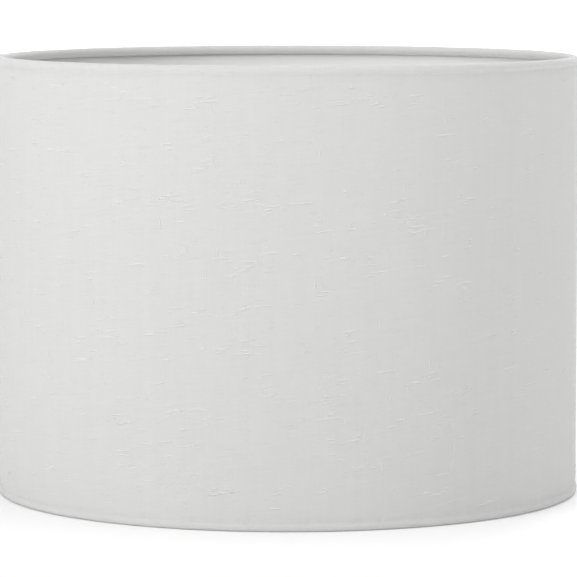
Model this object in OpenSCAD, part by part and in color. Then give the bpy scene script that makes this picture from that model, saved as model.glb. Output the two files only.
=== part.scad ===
// Straight drum lamp shade: slub fabric on a stiff liner, both rolled over two
// wire rings, with a three-arm spider and a lampholder ring at the lower ring.
// Millimetres, +Z up. The origin is on the table, on the drum's own axis.

/* [Drum] */
// Outside diameter of the drum, measured over the hem rolls
drum_d = 400; // [300:5:500]
// Overall height of the drum
drum_h = 300; // [180:5:400]

/* [Fabric cover] */
// Thickness of the slub fabric
cloth_t = 0.9; // [0.6:0.05:1.2]
// How far each hem roll stands out beyond the side wall
hem_proud = 0.7; // [0.4:0.05:0.9]

/* [Liner] */
// Thickness of the stiff plastic liner sheet
liner_t = 0.4; // [0.3:0.05:0.6]
// Width of the overlap where the ends of the liner meet at the seam
overlap_w = 12; // [8:1:20]
// Thickness of the seam tape between the two liner ends
seam_tape_t = 0.2; // [0.1:0.05:0.3]

/* [Wire rings] */
// Wire diameter of the top and bottom rings
wire_d = 4; // [3.5:0.1:5]
// Thickness of the adhesive tape wound around each ring
ring_tape_t = 0.4; // [0.2:0.05:0.6]

/* [Spider] */
// Wire diameter of an arm
arm_d = 3.2; // [2.8:0.1:3.6]
// Height of the lampholder ring above the table
fitter_z = 22; // [15:1:40]
// Hole of the lampholder ring, for an E27 lampholder
hole_d = 42; // [40:0.5:44]
// Outside diameter of the lampholder ring
fitter_d = 58; // [52:1:66]
// Sheet thickness of the lampholder ring
sheet_t = 1.2; // [1:0.1:1.6]
// Height of the turned-up rim of the lampholder ring
rim_h = 4.4; // [4.2:0.1:5]
// Centreline radius of the bend of an arm
bend_r = 8; // [6:1:12]

/* [Hidden] */
$fn = 180;

drum_r = drum_d / 2;
wire_r = wire_d / 2;
arm_r = arm_d / 2;
// Section radii of a hem, from the wire outwards
tape_r = wire_r + ring_tape_t;
hem_r = tape_r + cloth_t;
// Centreline of the rings
ring_r = drum_r - hem_r;
low_z = hem_r;
high_z = drum_h - hem_r;
// Radii of the side wall, from the outside inwards
wall_r = drum_r - hem_proud;
liner_r = wall_r - cloth_t;
liner_in_r = liner_r - liner_t;
underlap_r = liner_in_r - seam_tape_t;
underlap_in_r = underlap_r - liner_t;
// Depth at which the side wall runs into the roll of a hem
wall_bite = 0.2;
wall_end = sqrt(pow(hem_r, 2) - pow(wall_r - ring_r, 2)) - wall_bite;
// Height above the ring centre where the edge of the liner stops
liner_gap = 0.15;
liner_end = sqrt(pow(tape_r, 2) - pow(liner_in_r - ring_r, 2)) + liner_gap;
// Clear of the rolls, for the strip of liner that lies inside the seam
underlap_gap = 0.6;
underlap_z = low_z + hem_r + underlap_gap;
underlap_h = high_z - hem_r - underlap_gap - underlap_z;
// The lapped end is joined to the liner along one edge of the overlap
step_w = 0.8;
step_bite = liner_t / 2;
seam_tape_w = overlap_w - 2 * step_w - 0.4;
// The seam is on the left side of the drum
seam_at = 180;
// Arms: the first points to the back, the rest are evenly spaced
arm_at = 90;
arm_count = 3;
arm_step = 360 / arm_count;
arm_z = fitter_z + rim_h / 2;
arm_slope = 45;
arm_rise = arm_z - low_z;
// Bend of an arm: what it cuts off each leg, and where it starts
bend_cut = bend_r * tan(arm_slope / 2);
bend_at = ring_r - arm_rise - bend_cut;
fitter_r = fitter_d / 2;
// The legs are a hair thinner than the bend, and run a little way into it
leg_r = arm_r - 0.02;
leg_bite = 0.3;
leg_len = bend_at - fitter_r + sheet_t + leg_bite;
slope_len = arm_rise / sin(arm_slope) - bend_cut + leg_bite;
rim_bend = 2;
// Weld beads, and the slit in the hem that an arm leaves through
bead_r = arm_r + 0.5;
bead_out = 0.5;
collar_len = wire_r + 1.2;
slit_r = bead_r + 0.3;
slit_len = 2 * hem_r;
slit_start = 0.2;

// Wire ring of a given section radius, centred at height z
module wire_torus(z, section_r) {
    translate([0, 0, z])
        rotate_extrude()
            translate([ring_r, 0])
                circle(section_r);
}

// Upright tube between two radii, from z over height h
module tube(r_in, r_out, z, h) {
    rotate_extrude()
        translate([r_in, z])
            square([r_out - r_in, h]);
}

// Upright strip of a tube as wide as the given arc, its middle offset along the
// arc from the seam
module seam_strip(r_in, r_out, arc_w, offset_w) {
    to_angle = 180 / PI / liner_in_r;
    rotate([0, 0, seam_at + (offset_w - arc_w / 2) * to_angle])
        rotate_extrude(angle = arc_w * to_angle)
            translate([r_in, underlap_z])
                square([r_out - r_in, underlap_h]);
}

// Round rod up an arm's slope, starting at a distance from the ring's centreline
module sloped_rod(start, rod_len, rod_r) {
    translate([ring_r - start * cos(arm_slope), 0, low_z + start * sin(arm_slope)])
        rotate([0, arm_slope - 90, 0])
            cylinder(r = rod_r, h = rod_len);
}

// Section of one hem: cloth wrapped around the taped ring, with a slot
// that the edge of the liner sits in
module hem_section(z, towards_wall) {
    translate([ring_r, z])
        scale([1, towards_wall])
            difference() {
                circle(hem_r);
                circle(tape_r);
                translate([liner_in_r - ring_r, 0])
                    square([liner_t, hem_r]);
            }
}

// Places its children at every arm
module at_each_arm() {
    for (i = [0 : arm_count - 1])
        rotate([0, 0, arm_at + i * arm_step])
            children();
}

// Slub fabric: the side wall and both rolled hems are one cloth
module fabric_cover() {
    color("#f3f2ef")
        difference() {
            rotate_extrude() {
                hem_section(low_z, 1);
                hem_section(high_z, -1);
                translate([liner_r, low_z + wall_end])
                    square([cloth_t, high_z - low_z - 2 * wall_end]);
            }
            at_each_arm()
                sloped_rod(slit_start, slit_len, slit_r);
        }
}

// Stiff liner sheet, closed into a tube with one end lapped inside the other
module liner_panel() {
    color("#e9e9e6") {
        tube(liner_in_r, liner_r, low_z + liner_end, high_z - low_z - 2 * liner_end);
        seam_strip(underlap_in_r, underlap_r, overlap_w, 0);
        seam_strip(underlap_in_r, liner_in_r + step_bite, step_w, (overlap_w - step_w) / 2);
    }
}

// Double-sided tape between the lapped ends of the liner
module seam_tape() {
    color("#d8d4c4")
        seam_strip(underlap_r, liner_in_r, seam_tape_w, 0);
}

module top_ring() {
    color("#dcdcda")
        wire_torus(high_z, wire_r);
}

module bottom_ring() {
    color("#dcdcda")
        wire_torus(low_z, wire_r);
}

// Tape wound around a ring, open where the arms are welded on
module ring_tape(z, has_arms) {
    difference() {
        wire_torus(z, tape_r);
        wire_torus(z, wire_r);
        if (has_arms)
            at_each_arm()
                sloped_rod(slit_start, slit_len, slit_r);
    }
}

module top_ring_tape() {
    color("#e6e2d2")
        ring_tape(high_z, false);
}

module bottom_ring_tape() {
    color("#e6e2d2")
        ring_tape(low_z, true);
}

// One bent arm, fitted to the bottom ring and to the lampholder ring
module arm(index) {
    color("#dcdcda")
        rotate([0, 0, arm_at + index * arm_step])
            difference() {
                translate([bend_at, 0, arm_z - bend_r]) {
                    translate([leg_bite - leg_len, 0, bend_r])
                        rotate([0, 90, 0])
                            cylinder(r = leg_r, h = leg_len);
                    rotate([90, 0, 0])
                        rotate([0, 0, 90 - arm_slope])
                            rotate_extrude(angle = arm_slope)
                                translate([bend_r, 0])
                                    circle(arm_r);
                    rotate([0, arm_slope, 0])
                        translate([-leg_bite, 0, bend_r])
                            rotate([0, 90, 0])
                                cylinder(r = leg_r, h = slope_len);
                }
                wire_torus(low_z, wire_r);
                cylinder(r = fitter_r, h = arm_z + rim_h);
            }
}

module arm_1() {
    arm(0);
}

module arm_2() {
    arm(1);
}

module arm_3() {
    arm(2);
}

// Weld collars between the arms and the bottom ring
module ring_welds() {
    color("#c9c9c6")
        difference() {
            at_each_arm()
                difference() {
                    sloped_rod(bead_out, collar_len, bead_r);
                    sloped_rod(slit_start, slit_len, arm_r);
                }
            wire_torus(low_z, wire_r);
        }
}

// Pressed lampholder ring: a flat seat with a turned-up rim
module fitter_ring() {
    color("#dcdcda")
        rotate_extrude() {
            translate([hole_d / 2, fitter_z])
                square([fitter_r - rim_bend - hole_d / 2, sheet_t]);
            translate([fitter_r - sheet_t, fitter_z + rim_bend])
                square([sheet_t, rim_h - rim_bend]);
            translate([fitter_r - rim_bend, fitter_z + rim_bend])
                intersection() {
                    difference() {
                        circle(rim_bend);
                        circle(rim_bend - sheet_t);
                    }
                    translate([0, -rim_bend])
                        square(rim_bend);
                }
        }
}

// Weld collars between the arms and the rim of the lampholder ring
module fitter_welds() {
    color("#c9c9c6")
        difference() {
            at_each_arm()
                translate([fitter_r + bead_out, 0, arm_z])
                    sphere(bead_r);
            cylinder(r = fitter_r, h = arm_z + rim_h);
            at_each_arm()
                translate([0, 0, arm_z])
                    rotate([0, 90, 0])
                        cylinder(r = arm_r, h = fitter_d);
        }
}

fabric_cover();
liner_panel();
seam_tape();
top_ring();
top_ring_tape();
bottom_ring();
bottom_ring_tape();
ring_welds();
arm_1();
arm_2();
arm_3();
fitter_ring();
fitter_welds();
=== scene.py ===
"""Looks for a straight drum lamp shade: slub cloth rolled over two wire rings,
a glossy liner inside, and a white spider with a lampholder ring at the lower rim.
Everything is in metres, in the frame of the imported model."""

import math

import bpy
import numpy as np
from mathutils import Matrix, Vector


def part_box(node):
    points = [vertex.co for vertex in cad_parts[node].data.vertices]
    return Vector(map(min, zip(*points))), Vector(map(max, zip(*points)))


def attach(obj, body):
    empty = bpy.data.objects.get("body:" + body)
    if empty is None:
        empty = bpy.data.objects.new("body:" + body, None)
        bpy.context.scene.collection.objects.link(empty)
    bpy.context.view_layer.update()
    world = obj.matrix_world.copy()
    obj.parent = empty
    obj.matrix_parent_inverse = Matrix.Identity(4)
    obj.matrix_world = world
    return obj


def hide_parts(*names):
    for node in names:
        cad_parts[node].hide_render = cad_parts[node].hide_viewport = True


MM = 0.001
SEED = 41

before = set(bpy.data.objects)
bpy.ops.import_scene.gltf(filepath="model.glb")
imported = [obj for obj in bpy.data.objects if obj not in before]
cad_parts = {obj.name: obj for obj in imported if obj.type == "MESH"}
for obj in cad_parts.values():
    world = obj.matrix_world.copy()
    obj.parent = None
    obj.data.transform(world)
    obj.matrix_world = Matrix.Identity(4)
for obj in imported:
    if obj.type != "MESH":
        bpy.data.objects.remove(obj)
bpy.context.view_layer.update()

# Driving sizes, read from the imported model
COVER_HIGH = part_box("fabric_cover")[1]
LINER_LOW, LINER_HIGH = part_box("liner_panel")
RING_LOW, RING_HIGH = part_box("bottom_ring")
TAPE_LOW, TAPE_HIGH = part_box("bottom_ring_tape")

DRUM_R = COVER_HIGH.x
DRUM_H = COVER_HIGH.z
WIRE_R = (RING_HIGH.z - RING_LOW.z) / 2
TAPE_R = (TAPE_HIGH.z - TAPE_LOW.z) / 2
RING_R = RING_HIGH.x - WIRE_R
HEM_R = DRUM_R - RING_R
# Heights of the two rings' centres
LOW_Z = HEM_R
HIGH_Z = DRUM_H - HEM_R
CLOTH_T = HEM_R - TAPE_R
LINER_R = LINER_HIGH.x
WALL_R = LINER_R + CLOTH_T
# Thickness of the liner sheet
LINER_T = 0.4 * MM
# Places around the drum, from +X towards +Y
ARM_ANGLES = [math.radians(a) for a in (90, 210, 330)]
SEAM_ANGLE = math.radians(180)
# Overlap of the cloth and of the liner at the seam, and the run that lifts the cloth onto it
LAP_W = 12 * MM
LAP_RISE_W = 16 * MM
# End of the cloth that is turned in at the seam
TURN_IN_W = 8 * MM
# The weft runs up a little to the right
WEFT_SLOPE = math.tan(math.radians(6))


# ---------------------------------------------------------------- small helpers

def smooth_step(low, high, value):
    """0 below low, 1 above high, and a soft S between."""
    t = np.clip((value - low) / (high - low), 0, 1)
    return t * t * (3 - 2 * t)


def wander(rng, at, knot, low, high):
    """Smooth random values between low and high, with a knot about every `knot` metres."""
    first, last = float(np.min(at)), float(np.max(at))
    count = max(int((last - first) / knot) + 3, 4)
    steps = rng.uniform(0.55, 1.45, count)
    knots = first + (last - first) * np.cumsum(steps) / np.sum(steps)
    knots[0] = first
    values = rng.uniform(low, high, count)
    return np.interp(at, *densify(knots, values))


def densify(knots, values, steps=8):
    """Knots and values with cosine easing between them, for a plain linear lookup."""
    t = np.linspace(0, 1, steps, endpoint=False)
    ease = (1 - np.cos(np.pi * t)) / 2
    xs = (knots[:-1, None] + np.diff(knots)[:, None] * t).ravel()
    ys = (values[:-1, None] + np.diff(values)[:, None] * ease).ravel()
    return np.append(xs, knots[-1]), np.append(ys, values[-1])


def make_piece(name, verts, faces, material, cloth_at=None):
    """A smooth mesh piece that rides on the one body, with its cloth coordinates and painted
    light share if any.
    """
    mesh = bpy.data.meshes.new(name)
    mesh.from_pydata([tuple(v) for v in verts], [], [tuple(f) for f in faces])
    mesh.polygons.foreach_set("use_smooth", [True] * len(mesh.polygons))
    if cloth_at is not None:
        layer = mesh.attributes.new("cloth_at", "FLOAT_VECTOR", "POINT")
        layer.data.foreach_set("vector", np.asarray(cloth_at, np.float32).ravel())
    mesh.materials.append(material)
    mesh.validate()
    mesh.update()
    piece = bpy.data.objects.new(name, mesh)
    bpy.context.scene.collection.objects.link(piece)
    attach(piece, "root")
    return piece


def loop_grid(columns, outer, inner):
    """Faces of a closed thin sheet: `outer` points then `inner` points back, swept over
    `columns` columns. Each cut end is closed by a strip from one layer to the other."""
    loop = outer + inner
    faces = []
    for c in range(columns - 1):
        for k in range(loop):
            n = (k + 1) % loop
            a, b = c * loop + k, c * loop + n
            faces.append((a, a + loop, b + loop, b))
    last = (columns - 1) * loop
    for k in range(outer - 1):
        near = loop - 1 - round(k * (inner - 1) / (outer - 1))
        far = loop - 1 - round((k + 1) * (inner - 1) / (outer - 1))
        start_cap = (k, k + 1, far) if near == far else (k, k + 1, far, near)
        faces.append(start_cap)
        faces.append(tuple(last + i for i in reversed(start_cap)))
    return faces


def around(radius, angle, z):
    """Points at a radius and angle about the drum's axis."""
    return np.stack([radius * np.cos(angle), radius * np.sin(angle), z], -1)


# ---------------------------------------------------------------- materials

class Shader:
    """A material's node tree with short ways to add nodes."""

    def __init__(self, name):
        self.material = bpy.data.materials.new(name)
        self.material.use_nodes = True
        self.tree = self.material.node_tree
        self.surface = self.tree.nodes["Principled BSDF"]

    def add(self, kind, sockets=None, **settings):
        made = self.tree.nodes.new(kind)
        for key, value in settings.items():
            setattr(made, key, value)
        for key, value in (sockets or {}).items():
            self.feed(made.inputs[key], value)
        return made

    def feed(self, socket, value):
        if isinstance(value, bpy.types.NodeSocket):
            self.tree.links.new(value, socket)
        else:
            socket.default_value = value

    def math(self, operation, a, b=0.0):
        return self.add("ShaderNodeMath", {0: a, 1: b}, operation=operation).outputs[0]

    def noise(self, vector, scale, detail=2.0, roughness=0.5):
        sockets = {"Vector": vector, "Scale": scale, "Detail": detail, "Roughness": roughness}
        return self.add("ShaderNodeTexNoise", sockets).outputs["Fac"]

    def combine(self, x, y, z=0.0):
        return self.add("ShaderNodeCombineXYZ", {0: x, 1: y, 2: z}).outputs[0]

    def between(self, value, low, high, to_low, to_high):
        sockets = {"Value": value, "From Min": low, "From Max": high,
                   "To Min": to_low, "To Max": to_high}
        return self.add("ShaderNodeMapRange", sockets).outputs["Result"]

    def tint(self, value, dark, light):
        """A colour between dark and light."""
        ramp = self.add("ShaderNodeMix", {"Factor": value}, data_type="RGBA")
        ramp.inputs[6].default_value = (*dark, 1)
        ramp.inputs[7].default_value = (*light, 1)
        return ramp.outputs[2]

    def scaled(self, colour, by):
        """A colour made lighter or darker."""
        sockets = {0: colour, "Scale": by}
        return self.add("ShaderNodeVectorMath", sockets, operation="SCALE").outputs[0]

    def bump(self, height, distance, strength=1.0, base=None):
        sockets = {"Height": height, "Distance": distance, "Strength": strength}
        if base is not None:
            sockets["Normal"] = base
        return self.add("ShaderNodeBump", sockets).outputs[0]

    def set(self, **values):
        for key, value in values.items():
            self.feed(self.surface.inputs[key.replace("_", " ")], value)


# Distance between neighbouring yarns of the weave
YARN_PITCH = 0.62 * MM


def slub_cloth():
    """Off-white linen weave: uneven warp and weft yarns, a soft sheen, faint mottling.
    Noise scales are in lumps per metre along and across the weft. A third coordinate of a noise's
    input only sets one pattern apart from another. The third coordinate of cloth_at is painted
    light on the slub yarns: a painted highlight on their upper side and painted shade on their
    lower side."""
    s = Shader("slub_cloth")
    at = s.add("ShaderNodeAttribute", attribute_name="cloth_at").outputs["Vector"]
    split = s.add("ShaderNodeSeparateXYZ", {0: at}).outputs
    flat = s.combine(split[0], split[1])
    drift = s.math("MULTIPLY", s.noise(flat, 60.0, 1.0), 1.2 * MM)
    along = s.math("ADD", split[0], drift)
    across = s.math("SUBTRACT", split[1], s.math("MULTIPLY", split[0], WEFT_SLOPE))
    across = s.math("ADD", across, drift)
    wave_u = s.math("SINE", s.math("MULTIPLY", along, math.pi / YARN_PITCH))
    wave_v = s.math("SINE", s.math("MULTIPLY", across, math.pi / YARN_PITCH))
    weave = s.math("MULTIPLY", wave_u, wave_v)
    weft = s.noise(s.combine(s.math("MULTIPLY", along, 28.0),
                             s.math("MULTIPLY", across, 900.0)), 1.0, 3.0, 0.6)
    warp = s.noise(s.combine(s.math("MULTIPLY", along, 900.0),
                             s.math("MULTIPLY", across, 22.0), 3.7), 1.0, 3.0, 0.6)
    broad = s.noise(s.combine(s.math("MULTIPLY", along, 120.0),
                              s.math("MULTIPLY", across, 9.0), 8.1), 1.0, 2.0)
    nubs = s.noise(s.combine(s.math("MULTIPLY", along, 170.0),
                             s.math("MULTIPLY", across, 1000.0), 5.3), 1.0, 1.0)
    nubs = s.between(nubs, 0.64, 0.82, 0.0, 1.0)
    yarns = s.math("ADD", s.math("MULTIPLY", weft, 0.6), s.math("MULTIPLY", warp, 0.4))
    height = s.math("ADD", s.math("MULTIPLY", weave, 0.20), yarns)
    height = s.math("ADD", height, s.math("MULTIPLY", nubs, 1.6))
    shade = s.math("ADD", s.math("MULTIPLY", yarns, 0.8), s.math("MULTIPLY", broad, 0.2))
    colour = s.tint(s.between(shade, 0.35, 0.65, 0.0, 1.0),
                    (0.590, 0.589, 0.586), (0.618, 0.617, 0.614))
    # Painted highlight and painted shade on the slub yarns: the colour is scaled by one plus the
    # third coordinate of cloth_at
    painted_light = s.math("ADD", split[2], 1.0)
    colour = s.scaled(colour, painted_light)
    relief = s.bump(height, 0.14 * MM, 0.8)
    s.set(Base_Color=colour, Roughness=s.between(yarns, 0.3, 0.7, 0.78, 0.92),
          Normal=relief, Sheen_Weight=0.12, Sheen_Roughness=0.45, Specular_IOR_Level=0.25)
    return s.material


def liner_film():
    """White plastic sheet: semi-gloss, with the faint waves of a rolled film."""
    s = Shader("liner_film")
    at = s.add("ShaderNodeNewGeometry").outputs["Position"]
    waves = s.noise(at, 14.0, 2.0)
    grain = s.noise(at, 900.0, 2.0, 0.6)
    colour = s.tint(waves, (0.928, 0.927, 0.924), (0.950, 0.949, 0.946))
    relief = s.bump(grain, 0.02 * MM, 0.4, s.bump(waves, 0.8 * MM, 0.5))
    s.set(Base_Color=colour, Roughness=s.between(grain, 0.3, 0.7, 0.17, 0.23),
          Normal=relief, Specular_IOR_Level=0.5)
    return s.material


def powder_coat(name, dark, light, lumps):
    """White powder coat with fine orange peel; `lumps` is the depth of what lies under it."""
    s = Shader(name)
    at = s.add("ShaderNodeNewGeometry").outputs["Position"]
    peel = s.noise(at, 1500.0, 2.0, 0.5)
    cloud = s.noise(at, 90.0, 3.0, 0.6)
    first = s.bump(s.noise(at, 420.0, 2.0), lumps, 0.7)
    s.set(Base_Color=s.tint(cloud, dark, light), Roughness=s.between(peel, 0.3, 0.7, 0.34, 0.5),
          Normal=s.bump(peel, 0.06 * MM, 0.6, first), Specular_IOR_Level=0.5,
          Coat_Weight=0.15, Coat_Roughness=0.3)
    return s.material


def crepe_tape():
    """Cream adhesive tape with a fine crepe across its width."""
    s = Shader("crepe_tape")
    at = s.add("ShaderNodeNewGeometry").outputs["Position"]
    crepe = s.noise(at, 700.0, 3.0, 0.7)
    patch = s.noise(at, 60.0, 2.0)
    s.set(Base_Color=s.tint(patch, (0.74, 0.70, 0.60), (0.82, 0.79, 0.70)),
          Roughness=s.between(crepe, 0.3, 0.7, 0.65, 0.85),
          Normal=s.bump(crepe, 0.1 * MM, 0.7))
    return s.material


# Distances from the drum where the floor's glow starts to rise, and where it is full
GLOW_NEAR = 1.0
GLOW_FAR = 4.0


def lit_paper():
    """Pale seamless paper with a glow of its own, faint near the drum and full far away."""
    s = Shader("studio_floor")
    at = s.add("ShaderNodeNewGeometry").outputs["Position"]
    fibre = s.noise(at, 8.0, 2.0)
    away = s.add("ShaderNodeVectorMath", {0: at}, operation="LENGTH").outputs["Value"]
    colour = s.tint(fibre, (0.86, 0.86, 0.86), (0.88, 0.88, 0.88))
    s.set(Base_Color=colour, Roughness=0.9, Emission_Color=(1, 1, 1, 1),
          Emission_Strength=s.between(away, GLOW_NEAR, GLOW_FAR, FLOOR_GLOW, 1.0),
          Specular_IOR_Level=0.1)
    return s.material


# ---------------------------------------------------------------- cloth cover

ROLL_ROWS = 15
WALL_ROWS = 12
COVER_COLUMNS = 1300
# Turn around the ring, 0 outwards and 90 degrees towards the wall: where the cloth's tucked
# tail ends, where it ends at an arm's slit, and where the roll runs into the crease
TAIL_END = math.radians(-289)
SLIT_END = math.radians(-172)
CREASE_ANGLE = math.radians(50)
# Half-width of the stretch with close columns at an arm, and how many there are
ARM_SPAN = 5 * MM
ARM_COLUMNS = 15
# Half-widths of an arm's slit: where the tail is cut back, and where it is whole again
SLIT_HALF_W = 2.3 * MM
SLIT_FADE_W = 4.2 * MM
# Gathers of a crease, in millimetres: usual distance apart, its spread, the least and most
PUCKER_APART = 8.0
PUCKER_SPREAD = 0.55
PUCKER_RANGE = (2.5, 26)
# How far a gather draws in the roll beside the crease
PINCH = 0.75 * MM
# Distance of the crease's deepest line from the ring's centre, towards the wall
CREASE_Y = 3.15 * MM
# Millimetres that the crease is sunk: everywhere, where it is pulled, in a gather, and at most
CREASE_SUNK, CREASE_PULLED, CREASE_GATHERED, CREASE_MOST = 0.24, 0.32, 0.60, 0.78
# How the crease runs out onto the wall: share of its depth, and millimetres from its line
CREASE_RUNOUT = [(1.0, 0.0), (0.9, 0.8), (0.55, 1.8), (0.2, 3.2), (0.0, 5.6)]
# Least cloth left between the outside of the crease and its inside
CREASE_SKIN = 0.12 * MM
# Gap between the roll and the tape on its ring
TAPE_GAP = 0.03 * MM
SHEET_START = SEAM_ANGLE - LAP_W / 2 / WALL_R
SHEET_END = SHEET_START + 2 * math.pi + LAP_W / WALL_R


def cover_angles():
    """Angles of the cover's columns: even steps, with more where an arm or an edge needs them."""
    parts = [np.linspace(SHEET_START, SHEET_END, COVER_COLUMNS)]
    for arm in ARM_ANGLES:
        parts.append(arm + np.linspace(-ARM_SPAN, ARM_SPAN, ARM_COLUMNS) / WALL_R)
        parts.append(parts[-1] + 2 * math.pi)
    by_the_edges = [SHEET_START + 0.3 * MM / WALL_R, SHEET_END - 0.6 * MM / WALL_R,
                    SHEET_END - 0.25 * MM / WALL_R]
    parts.append(np.array(by_the_edges))
    every = np.concatenate(parts)
    return np.unique(np.round(every[(every >= SHEET_START) & (every <= SHEET_END)], 7))


def arm_slit(angle):
    """1 where the hem is slit for an arm, 0 away from it."""
    slit = np.zeros_like(angle)
    for arm in ARM_ANGLES:
        gap = np.abs((angle - arm + math.pi) % (2 * math.pi) - math.pi) * RING_R
        slit = np.maximum(slit, 1 - smooth_step(SLIT_HALF_W, SLIT_FADE_W, gap))
    return slit


def puckers(arc, rng):
    """Small gathers along a crease: 0 between them, up to 1 in the deepest."""
    depth = np.zeros_like(arc)
    at = float(arc[0])
    while at < arc[-1]:
        width = rng.uniform(0.9, 2.0) * MM
        lump = rng.uniform(0.2, 1.0) ** 1.5 * np.exp(-((arc - at) / width) ** 2)
        depth = np.maximum(depth, lump)
        apart = rng.lognormal(math.log(PUCKER_APART), PUCKER_SPREAD)
        at += float(np.clip(apart, *PUCKER_RANGE)) * MM
    return depth


def hem_outline(angle, rng, lift, has_arms):
    """Outer and inner outline of one hem for every column, from the tucked tail to the wall.
    x runs outwards from the ring's centre and y from the ring towards the wall."""
    arc = angle * WALL_R
    gather = puckers(arc, rng)
    pull = wander(rng, arc, 40 * MM, 0.0, 1.0)
    sway = wander(rng, arc, 18 * MM, -0.25 * MM, 0.25 * MM)
    swell = wander(rng, arc, 9 * MM, -0.10 * MM, 0.10 * MM)
    tail = np.full_like(angle, TAIL_END) + wander(rng, arc, 16 * MM, -0.09, 0.03)
    if has_arms:
        slit = arm_slit(angle)
        tail = tail * (1 - slit) + SLIT_END * slit
    t = np.linspace(0, 1, ROLL_ROWS)[None, :]
    turn = tail[:, None] * (1 - t) + CREASE_ANGLE * t
    pinch = gather[:, None] * smooth_step(math.radians(5), CREASE_ANGLE, turn)
    # The lap lifts the outer side of a roll, and hardly its inner side
    raised = lift[:, None] * (0.1 + 0.9 * smooth_step(-0.2, 0.9, np.cos(turn)))
    outer_r = HEM_R + raised + swell[:, None] - PINCH * pinch
    inner_r = TAPE_R + raised + TAPE_GAP
    roll_out = np.stack([outer_r * np.cos(turn), outer_r * np.sin(turn)], -1)
    roll_in = np.stack([inner_r * np.cos(turn), inner_r * np.sin(turn)], -1)

    wall_out = WALL_R - RING_R + lift
    wall_in = LINER_R - RING_R + lift
    dip = CREASE_SUNK + CREASE_PULLED * pull + CREASE_GATHERED * gather
    dip = np.minimum(dip, CREASE_MOST) * MM
    valley_y = CREASE_Y + sway
    ridge_out = np.stack([np.stack([wall_out - share * dip, valley_y + rise * MM], -1)
                          for share, rise in CREASE_RUNOUT], 1)
    ridge_in = ridge_out[:, [0, -1]].copy()
    ridge_in[..., 0] = np.minimum(wall_in[:, None], ridge_in[..., 0] - CREASE_SKIN)
    inner = np.concatenate([roll_in[:, ::2], ridge_in], 1)
    return np.concatenate([roll_out, ridge_out], 1), inner


def pick_waves(count):
    """Random faint waves of the side wall: turns, slope along z, phase and share."""
    rng = np.random.default_rng(SEED + 3)
    turns = rng.integers(3, 26, count)
    return [(n, rng.uniform(-26, 26), rng.uniform(0, 2 * math.pi), 1 / math.sqrt(n))
            for n in turns]


WAVES = pick_waves(9)
WAVE_DEPTH = 0.055 * MM
# Height over which the waves fade in above the lower hem and below the upper one
WAVE_FADE = 30 * MM


def wall_wave(angle, z):
    """Faint swell of the side wall, fading out towards both hems."""
    swell = sum(share * np.sin(turns * angle + rate * z + phase)
                for turns, rate, phase, share in WAVES)
    edge = smooth_step(0, WAVE_FADE, z) * smooth_step(0, WAVE_FADE, DRUM_H - z)
    return WAVE_DEPTH * swell * edge


# At the lap: glue under it, extra height of the turned-in end, and how its edge rounds off
LAP_GLUE = 0.1 * MM
FOLD_LIFT = 0.35 * MM
EDGE_DROP = 0.45 * MM


def lap_lift(angle):
    """How far the cloth lies out over its own other end at the seam, with a turned-in edge."""
    left = (SHEET_END - angle) * WALL_R
    over = 1 - smooth_step(LAP_W, LAP_W + LAP_RISE_W, left)
    fold = FOLD_LIFT * (1 - smooth_step(TURN_IN_W, TURN_IN_W + 1.5 * MM, left))
    edge = EDGE_DROP * (1 - smooth_step(0.0, 1.0 * MM, left))
    return over * (CLOTH_T + LAP_GLUE) + fold - edge


def cloth_cover(material):
    """The cover as one closed thin cloth: both rolled hems and the side wall. Returns the
    piece and the length of the cloth from tail to tail."""
    rng = np.random.default_rng(SEED)
    angle = cover_angles()
    lift = lap_lift(angle)
    hems = [hem_outline(angle, rng, lift, has_arms) for has_arms in (True, False)]
    (low_out, low_in), (top_out, top_in) = [
        [np.stack([RING_R + line[..., 0], np.maximum(centre + side * line[..., 1], 0)], -1)
         for line in hem]
        for hem, centre, side in zip(hems, (LOW_Z, HIGH_Z), (1, -1))]
    t = np.linspace(0, 1, WALL_ROWS + 2)[None, 1:-1]
    rows_z = low_out[:, -1:, 1] * (1 - t) + top_out[:, -1:, 1] * t
    wave = wall_wave(angle[:, None], rows_z)
    wall_out = np.stack([WALL_R + lift[:, None] + wave, rows_z], -1)
    outer = np.concatenate([low_out, wall_out, top_out[:, ::-1]], 1)
    inner = np.concatenate([low_in, top_in[:, ::-1]], 1)

    along_outer, along_inner = distance_along(outer), distance_along(inner)
    section = np.concatenate([outer, inner[:, ::-1]], 1)
    verts = around(section[..., 0], angle[:, None], section[..., 1])
    along = np.concatenate([along_outer, along_inner[:, ::-1]], 1)
    arc = np.broadcast_to((angle * WALL_R)[:, None], along.shape)
    # The cover's third coordinate is 0: no painted light on the cover itself
    at = np.stack([arc, along, 0 * along], -1)
    faces = loop_grid(len(angle), outer.shape[1], inner.shape[1])
    piece = make_piece("cloth_cover", verts.reshape(-1, 3), faces, material,
                       at.reshape(-1, 3))
    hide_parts("fabric_cover")
    return piece, float(np.ptp(along_outer, axis=1).mean())


def distance_along(line):
    """Distance along each column's outline, equal to z at the outline's middle point."""
    steps = np.linalg.norm(np.diff(line, axis=1), axis=-1)
    along = np.concatenate([np.zeros((len(line), 1)), np.cumsum(steps, 1)], 1)
    middle = line.shape[1] // 2
    return along + (line[:, middle, 1] - along[:, middle])[:, None]


# ---------------------------------------------------------------- yarns on the cloth

# Section of a lump, from its lower edge over the top and back under the cloth: shares of its
# half-width across the yarn, and shares of its height above the cloth
LUMP_ACROSS = np.array([-1.0, -0.55, 0.0, 0.55, 1.0, 0.0])
LUMP_OUT = np.array([-0.15, 0.6, 1.0, 0.6, -0.15, -0.7])
# Shares of the cloth's colour across a lump: a painted highlight on its upper side, a little
# painted shade on its lower side, and slightly lighter yarn along its crest
LUMP_PAINTED_LIGHT = np.array([0.0, -0.03, 0.06, 0.16, 0.08, 0.0])
# Sides of a lump that lie above the cloth. The rest are its underside.
LUMP_SHOWN = 4
# Length of one step along a lump, and how deep its two tips are sunk
LUMP_STEP = 1.8 * MM
TIP_SUNK = 0.03 * MM
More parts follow.
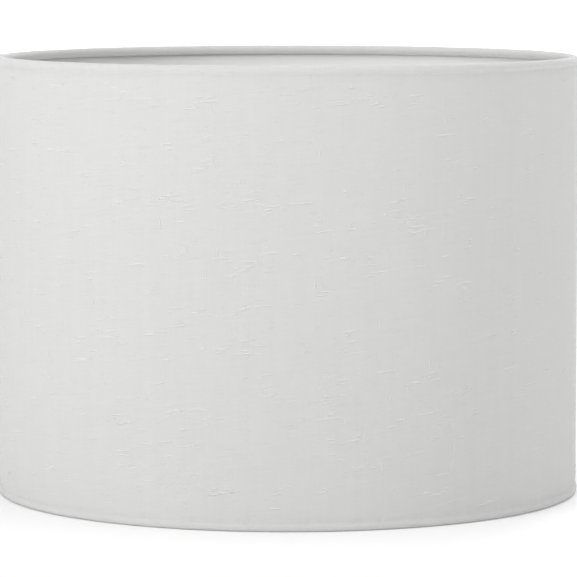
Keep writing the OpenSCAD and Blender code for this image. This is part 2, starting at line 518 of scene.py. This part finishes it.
# Clusters of slubs in the weft, with the counts that one is drawn from, single slubs in the
# warp, and the plain margin by each hem
WEFT_CLUSTERS = 900
CLUSTER_COUNTS = [1, 1, 1, 2, 2, 3, 4]
WARP_SLUBS = 260
SLUB_MARGIN = 12 * MM
# Length of a slub in the weft, in millimetres: the usual one, its spread, the least and most
SLUB_LENGTH = 6.0
SLUB_SPREAD = 0.65
SLUB_RANGE = (2.4, 30)


def yarn_lump(rng, arc, z, length, half_width, height, slope, bow):
    """A tapered thick place in a yarn, half sunk in the cloth. Returns verts, faces and coords,
    whose third value is the painted highlight and shade share.
    """
    sides = len(LUMP_ACROSS)
    rings = max(4, int(length / LUMP_STEP))
    t = np.linspace(-1, 1, rings + 2)[1:-1]
    body = (1 - np.abs(t) ** 2.2) ** 0.8 * (1 + 0.22 * np.sin(5 * t + rng.uniform(0, 6)))
    run = np.concatenate([[-1], np.repeat(t, sides), [1]]) * length / 2
    side = bow * (1 - t * t) + 0.12 * MM * np.sin(4 * t + rng.uniform(0, 6))
    across = (side[:, None] + half_width * body[:, None] * LUMP_ACROSS).ravel()
    across = np.concatenate([[0], across, [0]])
    out = (height * body[:, None] * LUMP_OUT).ravel()
    out = np.concatenate([[-TIP_SUNK], out, [-TIP_SUNK]])
    u = arc + run * math.cos(slope) - across * math.sin(slope)
    v = z + run * math.sin(slope) + across * math.cos(slope)
    angle = u / WALL_R
    verts = around(WALL_R + wall_wave(angle, v) + lap_lift(angle) + out, angle, v)
    faces = []
    for k in range(sides):
        n = (k + 1) % sides
        faces.append((0, 1 + k, 1 + n))
        for c in range(rings - 1):
            a, b = 1 + c * sides + k, 1 + c * sides + n
            faces.append((a, a + sides, b + sides, b))
        last = 1 + (rings - 1) * sides
        faces.append((last + n, last + k, 1 + rings * sides))
    # Painted highlight and painted shade share for every vertex of the lump
    painted_light = np.concatenate([[0], np.tile(LUMP_PAINTED_LIGHT, rings), [0]])
    return verts, faces, np.stack([u, v, painted_light], -1)


def join_lumps(name, lumps, material):
    """All lumps as one mesh piece, smooth where they show and flat on the sunk underside."""
    verts, faces, coords, smooth, count = [], [], [], [], 0
    for v, f, c in lumps:
        verts.append(v)
        coords.append(c)
        faces.extend([tuple(i + count for i in face) for face in f])
        shown = round(len(f) * LUMP_SHOWN / len(LUMP_ACROSS))
        smooth.extend([True] * shown + [False] * (len(f) - shown))
        count += len(v)
    piece = make_piece(name, np.concatenate(verts), faces, material,
                       np.concatenate(coords))
    piece.data.polygons.foreach_set("use_smooth", smooth)
    return piece


def slub_yarns(material):
    """Thick places along the weft, singly and in small groups of neighbouring yarns, and a
    few along the warp. Widths, heights and bows are in millimetres."""
    rng = np.random.default_rng(SEED + 1)
    low, high = SLUB_MARGIN, DRUM_H - SLUB_MARGIN
    first = SHEET_START * WALL_R + LAP_W
    last = SHEET_END * WALL_R - 2 * MM
    weft = math.atan(WEFT_SLOPE)
    lumps = []

    def place(arc, z, length, width, height, slope, bow):
        arc = float(np.clip(arc, first + length / 2, last - length / 2))
        z = float(np.clip(z, low, high))
        lumps.append(yarn_lump(rng, arc, z, length, width * MM, height * MM, slope, bow * MM))

    for _ in range(WEFT_CLUSTERS):
        arc, z = rng.uniform(first, last), rng.uniform(low, high)
        for _ in range(rng.choice(CLUSTER_COUNTS)):
            length = rng.lognormal(math.log(SLUB_LENGTH), SLUB_SPREAD)
            length = float(np.clip(length, *SLUB_RANGE)) * MM
            place(arc, z, length, rng.uniform(0.42, 0.72), 0.09 + 0.21 * rng.random() ** 1.6,
                  weft + rng.normal(0, 0.03), rng.normal(0, 0.25))
            arc += rng.uniform(-9, 9) * MM
            z += rng.choice([-1, 1]) * rng.uniform(1.3, 3.2) * MM
    for _ in range(WARP_SLUBS):
        length = rng.uniform(2.5, 12) * MM
        z = rng.uniform(low + 8 * MM, high - 8 * MM)
        place(rng.uniform(first, last), z, length, rng.uniform(0.34, 0.5),
              rng.uniform(0.07, 0.17), math.pi / 2 + rng.normal(0, 0.12), rng.normal(0, 0.5))
    return join_lumps("slub_yarns", lumps, material)


# ---------------------------------------------------------------- liner

LINER_COLUMNS = 420
LINER_ROWS = 14
# Run over which the inner end of the liner comes out to the wall
LINER_RISE_W = 10 * MM
# Thickness of the tape between the lapped ends
SEAM_TAPE_T = 0.2 * MM
# Clear space between the inner end of the liner and each roll
LINER_GAP = 0.6 * MM
# The liner's waves against the wall's, and the most they may thin it
LINER_WAVE = 0.8
LINER_THIN = 0.1 * MM


def liner_sheet(material):
    """The liner as a closed thin sheet, with one end lapped inside the other at the seam."""
    start = SEAM_ANGLE - LAP_W / 2 / LINER_R
    angle = np.linspace(start, start + 2 * math.pi + LAP_W / LINER_R, LINER_COLUMNS)
    gone = (angle - start) * LINER_R
    inside_w = LAP_W + LINER_RISE_W
    sink = (LINER_T + SEAM_TAPE_T) * (1 - smooth_step(LAP_W, inside_w, gone))
    inside = (gone < inside_w)[:, None]
    bottom = np.where(inside, LOW_Z + HEM_R + LINER_GAP, LINER_LOW.z)
    top = np.where(inside, HIGH_Z - HEM_R - LINER_GAP, LINER_HIGH.z)
    z = bottom + (top - bottom) * np.linspace(0, 1, LINER_ROWS)[None, :]
    outer = LINER_R - sink[:, None] + 0 * z
    wave = wall_wave(angle[:, None], z) * LINER_WAVE
    inner = outer - LINER_T + np.minimum(wave, LINER_THIN)
    radius = np.concatenate([outer, inner[:, ::-1]], 1)
    heights = np.concatenate([z, z[:, ::-1]], 1)
    verts = around(radius, angle[:, None], heights)
    faces = loop_grid(LINER_COLUMNS, LINER_ROWS, LINER_ROWS)
    piece = make_piece("liner_sheet", verts.reshape(-1, 3), faces, material)
    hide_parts("liner_panel")
    return piece


# ---------------------------------------------------------------- stage

# Camera: distance and height in drum radii, and its small tilt down and turn in radians
CAMERA_OUT = 13.43
CAMERA_UP = 1.98
CAMERA_DIP = 0.0955
CAMERA_SWING = 0.0002
# Sensor width and focal length in millimetres, and how far the camera sees
SENSOR_W = 36
FOCAL_LENGTH = 243.64
SIGHT = 200


def camera():
    """A long lens, a little above the rim, that looks slightly down at the front."""
    lens = bpy.data.cameras.new("camera")
    lens.sensor_width = SENSOR_W
    lens.lens = FOCAL_LENGTH
    lens.clip_end = SIGHT
    eye = bpy.data.objects.new("camera", lens)
    eye.location = (0, -CAMERA_OUT * DRUM_R, CAMERA_UP * DRUM_R)
    eye.rotation_euler = (math.pi / 2 - CAMERA_DIP, 0, -CAMERA_SWING)
    bpy.context.scene.collection.objects.link(eye)
    bpy.context.scene.camera = eye


def softbox(name, azimuth, elevation, distance, size, power):
    """A square area light that faces the drum. Azimuth 0 is the camera's side, + to its right."""
    light = bpy.data.lights.new(name, "AREA")
    light.shape = "SQUARE"
    light.size = size
    light.energy = power
    lamp = bpy.data.objects.new(name, light)
    swing, rise = math.radians(azimuth), math.radians(elevation)
    lamp.location = (distance * math.cos(rise) * math.sin(swing),
                     -distance * math.cos(rise) * math.cos(swing),
                     DRUM_H / 2 + distance * math.sin(rise))
    lamp.rotation_euler = (math.pi / 2 - rise, 0, swing)
    bpy.context.scene.collection.objects.link(lamp)


# Name, azimuth, elevation, distance, size and power of every softbox
LIGHTS = [("key", -50, 11, 8.0, 2.6, 208),
          ("high", -10, 40, 8.0, 4.0, 68),
          ("edge", 80, 10, 8.0, 2.6, 76),
          ("top", 0, 85, 6.0, 4.0, 165),
          ("rear", 170, 28, 8.0, 4.0, 260)]
# Strength of the surroundings' own light, and of the floor's glow by the drum
WORLD_LIGHT = 0.47
FLOOR_GLOW = 0.10
FLOOR_HALF_W = 60


def studio_surroundings():
    """A room that is even in every direction: white to the camera, and dimmer as a light."""
    world = bpy.data.worlds.new("studio")
    world.use_nodes = True
    nodes = world.node_tree.nodes
    sight = nodes.new("ShaderNodeLightPath")
    level = nodes.new("ShaderNodeMapRange")
    level.inputs["To Min"].default_value = WORLD_LIGHT
    level.inputs["To Max"].default_value = 1.0
    world.node_tree.links.new(sight.outputs["Is Camera Ray"], level.inputs["Value"])
    world.node_tree.links.new(level.outputs[0], nodes["Background"].inputs["Strength"])
    nodes["Background"].inputs["Color"].default_value = (1, 1, 1, 1)
    return world


def stage():
    """Pale floor, even surroundings and soft lights."""
    half = FLOOR_HALF_W
    mesh = bpy.data.meshes.new("floor")
    corners = [(-half, -half, 0), (half, -half, 0), (half, half, 0), (-half, half, 0)]
    mesh.from_pydata(corners, [], [(0, 1, 2, 3)])
    mesh.materials.append(lit_paper())
    floor = bpy.data.objects.new("floor", mesh)
    bpy.context.scene.collection.objects.link(floor)
    bpy.context.scene.world = studio_surroundings()
    for rig in LIGHTS:
        softbox(*rig)
    bpy.context.scene.view_settings.view_transform = "Standard"


# ---------------------------------------------------------------- assembly

def dress_cad_nodes():
    """Finishes for the CAD nodes whose shape is already right."""
    wire = powder_coat("coated_wire", (0.78, 0.78, 0.77), (0.84, 0.84, 0.83), 0.05 * MM)
    sheet = powder_coat("coated_sheet", (0.79, 0.79, 0.78), (0.84, 0.84, 0.83), 0.03 * MM)
    weld = powder_coat("coated_weld", (0.70, 0.70, 0.69), (0.80, 0.80, 0.79), 0.35 * MM)
    tape = crepe_tape()
    finishes = {"top_ring": wire, "bottom_ring": wire, "arm_1": wire, "arm_2": wire,
                "arm_3": wire, "fitter_ring": sheet, "ring_welds": weld,
                "fitter_welds": weld, "top_ring_tape": tape, "bottom_ring_tape": tape,
                "seam_tape": tape}
    for name, material in finishes.items():
        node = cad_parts[name]
        node.data.materials.clear()
        node.data.materials.append(material)


cloth = slub_cloth()
cover, cut_height = cloth_cover(cloth)
slubs = slub_yarns(cloth)
liner_sheet(liner_film())
dress_cad_nodes()
camera()
stage()
